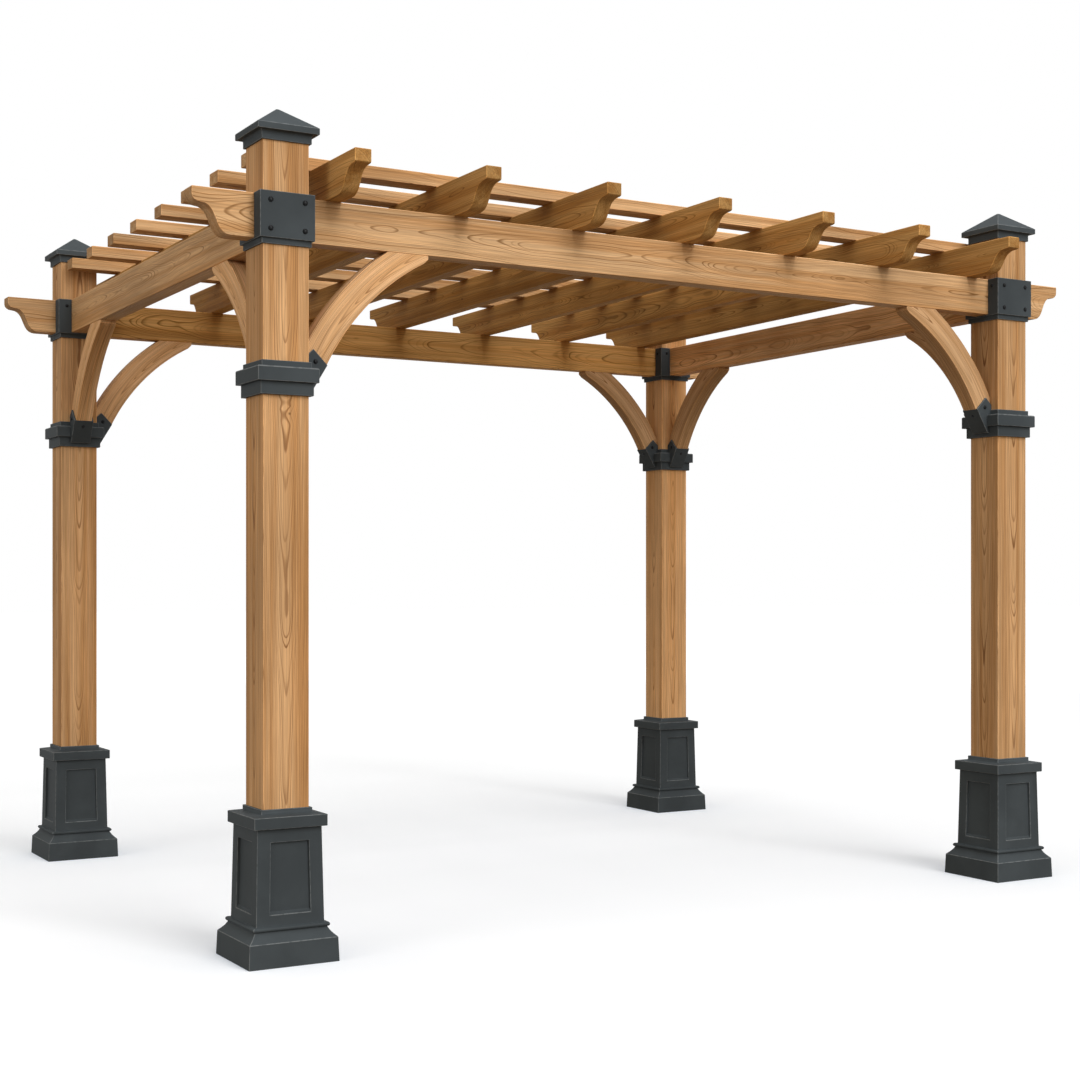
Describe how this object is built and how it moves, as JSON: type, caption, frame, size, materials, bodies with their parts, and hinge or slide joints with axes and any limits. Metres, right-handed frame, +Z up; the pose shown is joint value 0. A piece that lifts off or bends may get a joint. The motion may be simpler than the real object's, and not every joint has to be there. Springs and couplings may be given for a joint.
{
  "type": "wooden pergola",
  "caption": "Rectangular timber pergola with ogee-ended beams, rafters and slats, curved knee braces, dark metal sleeves, collars, post caps and panelled pedestals.",
  "frame": {"origin": "on the ground, at the centre of the four posts", "axes": "+X along the front beam, +Y towards the back, +Z up"},
  "size_m": [3.624, 2.87, 2.631],
  "materials": {
    "post_timber": "oiled cedar, straight upright grain",
    "beam_timber": "oiled cedar, long grain with cathedral figure",
    "brace_timber": "oiled cedar, band-sawn curve",
    "rafter_timber": "oiled cedar",
    "slat_timber": "oiled cedar",
    "black_metal": "charcoal powder coat, satin"
  },
  "bodies": {
    "root": {"post_front_left": "post_timber", "post_front_right": "post_timber", "post_back_left": "post_timber", "post_back_right": "post_timber", "pedestal_front_left": "black_metal", "pedestal_front_right": "black_metal", "pedestal_back_left": "black_metal", "pedestal_back_right": "black_metal", "cap_front_left": "black_metal", "cap_front_right": "black_metal", "cap_back_left": "black_metal", "cap_back_right": "black_metal", "sleeve_front_left": "black_metal", "sleeve_front_right": "black_metal", "sleeve_back_left": "black_metal", "sleeve_back_right": "black_metal", "collar_front_left": "black_metal", "collar_front_right": "black_metal", "collar_back_left": "black_metal", "collar_back_right": "black_metal", "braces_front_left": "brace_timber", "braces_front_right": "brace_timber", "braces_back_left": "brace_timber", "braces_back_right": "brace_timber", "beam_front": "beam_timber", "beam_back": "beam_timber", "beam_left": "beam_timber", "beam_right": "beam_timber", "beam_tails_front": "beam_timber", "beam_tails_back": "beam_timber", "rafter_1": "rafter_timber", "rafter_2": "rafter_timber", "rafter_3": "rafter_timber", "rafter_4": "rafter_timber", "rafter_5": "rafter_timber", "rafter_6": "rafter_timber", "rafter_7": "rafter_timber", "slat_1": "slat_timber", "slat_2": "slat_timber", "slat_3": "slat_timber", "slat_4": "slat_timber", "slat_5": "slat_timber", "slat_6": "slat_timber", "slat_7": "slat_timber", "slat_8": "slat_timber"}
  },
  "joints": []
}
